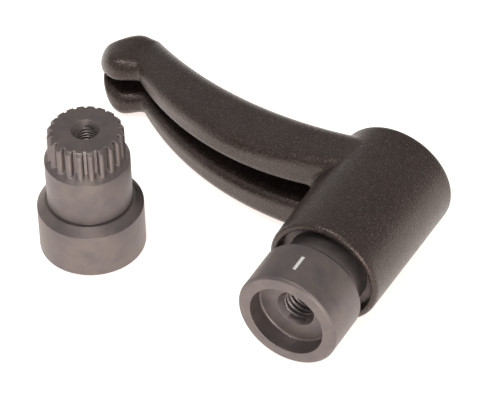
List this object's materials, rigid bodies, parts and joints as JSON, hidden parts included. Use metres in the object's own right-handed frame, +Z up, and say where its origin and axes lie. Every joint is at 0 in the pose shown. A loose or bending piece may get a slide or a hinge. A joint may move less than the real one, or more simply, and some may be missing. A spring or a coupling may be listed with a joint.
{
  "type": "indexing clamping lever",
  "caption": "Adjustable clamping lever: a curved channel-section arm on a round boss, over a spring-loaded splined hub with a threaded seat, with a spare hub standing beside it.",
  "frame": {"origin": "on the hub axis, at the first full turn of the clamping thread, 6.95 mm behind the hub's face", "axes": "+Y along the hub axis from the threaded face to the closed end of the boss; the arm points to -X; +Z up as the lever lies on a table"},
  "size_m": [0.1198, 0.0844, 0.042],
  "materials": {
    "coated_casting": "fine-grained satin black coating",
    "black_oxide": "turned steel, blackened, satin",
    "bright_steel": "machined",
    "spring_steel": "drawn wire",
    "cap": "satin black",
    "mark_paint": "matte white marking paint"
  },
  "bodies": {
    "hub": {"fitted_hub": "black_oxide", "index_mark": "mark_paint", "retaining_screw": "black_oxide", "retainer_washer": "bright_steel", "lift_spring": "spring_steel"},
    "washer": {"thrust_washer": "bright_steel"},
    "lever": {"lever_casting": "coated_casting", "toothed_bush": "black_oxide", "end_cap": "cap"},
    "spare": {"spare_hub": "black_oxide"}
  },
  "joints": [
    {"name": "lever_lift", "type": "slide", "parent": "hub", "child": "washer", "axis": [0, 1, 0], "range_m": [-0.0054, 0], "stiffness_N_per_m": 1200, "springref_m": -0.008, "deforming": ["lift_spring"]},
    {"name": "lever_index", "type": "hinge", "parent": "washer", "child": "lever", "pos_m": [0, 0, 0], "axis": [0, 1, 0], "range_deg": [-180, 180]},
    {"name": "spare_pick_up", "type": "slide", "parent": "hub", "child": "spare", "axis": [0, 0, 1], "range_m": [0, 0.06]}
  ]
}
